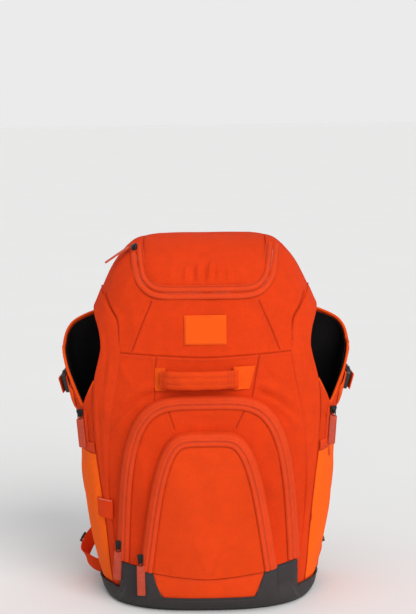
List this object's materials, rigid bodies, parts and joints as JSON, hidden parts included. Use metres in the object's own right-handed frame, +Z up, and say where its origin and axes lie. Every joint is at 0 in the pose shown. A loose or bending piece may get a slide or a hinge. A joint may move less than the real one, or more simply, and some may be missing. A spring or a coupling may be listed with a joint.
{
  "type": "baseball bat backpack",
  "caption": "Soft sports backpack with a domed lid, two arched front pockets, a grab handle, a coated base and an open bat sleeve with a buckled strap down each side.",
  "frame": {"origin": "centre of the bag's footprint, on the surface it stands on", "axes": "+X to the right seen from the front, -Y out of the front, +Z up"},
  "size_m": [0.4178, 0.2672, 0.505],
  "materials": {
    "body_fabric": "orange coated polyester weave",
    "bright_fabric": "brighter orange weave",
    "base_fabric": "charcoal coated base fabric",
    "lining": "black lining",
    "zip_tape": "covered zip band, stitched",
    "webbing": "orange webbing",
    "padding": "charcoal padded mesh",
    "pull_rubber": "moulded terracotta pull",
    "black_plastic": "black acetal buckle and slider"
  },
  "bodies": {
    "root": {"main_shell": "body_fabric", "lid_panel": "body_fabric", "outer_pocket": "body_fabric", "gusset_left": "body_fabric", "gusset_right": "body_fabric", "sleeve_left": "body_fabric", "sleeve_right": "body_fabric", "grab_handle": "body_fabric", "base_plate": "body_fabric", "inner_pocket": "bright_fabric", "side_pocket_left": "bright_fabric", "side_pocket_right": "bright_fabric", "label_patch": "bright_fabric", "side_tab": "bright_fabric", "base_boot": "base_fabric", "sleeve_lining_left": "lining", "sleeve_lining_right": "lining", "lid_zip_band": "zip_tape", "outer_zip": "zip_tape", "inner_zip": "zip_tape", "sleeve_zip_left": "zip_tape", "sleeve_zip_right": "zip_tape", "pocket_band_left": "zip_tape", "pocket_band_right": "zip_tape", "handle_anchor_left": "webbing", "handle_anchor_right": "webbing", "compression_strap_left": "webbing", "compression_strap_right": "webbing", "strap_web_left": "webbing", "strap_web_right": "webbing", "back_panel": "padding", "shoulder_strap_left": "padding", "shoulder_strap_right": "padding", "outer_pull": "pull_rubber", "inner_pull": "pull_rubber", "sleeve_pull_left": "pull_rubber", "sleeve_pull_right": "pull_rubber", "lid_pull": "pull_rubber", "outer_slider": "black_plastic", "inner_slider": "black_plastic", "sleeve_slider_left": "black_plastic", "sleeve_slider_right": "black_plastic", "lid_slider": "black_plastic", "buckle_left": "black_plastic", "buckle_right": "black_plastic", "ladder_lock_left": "black_plastic", "ladder_lock_right": "black_plastic"}
  },
  "joints": []
}
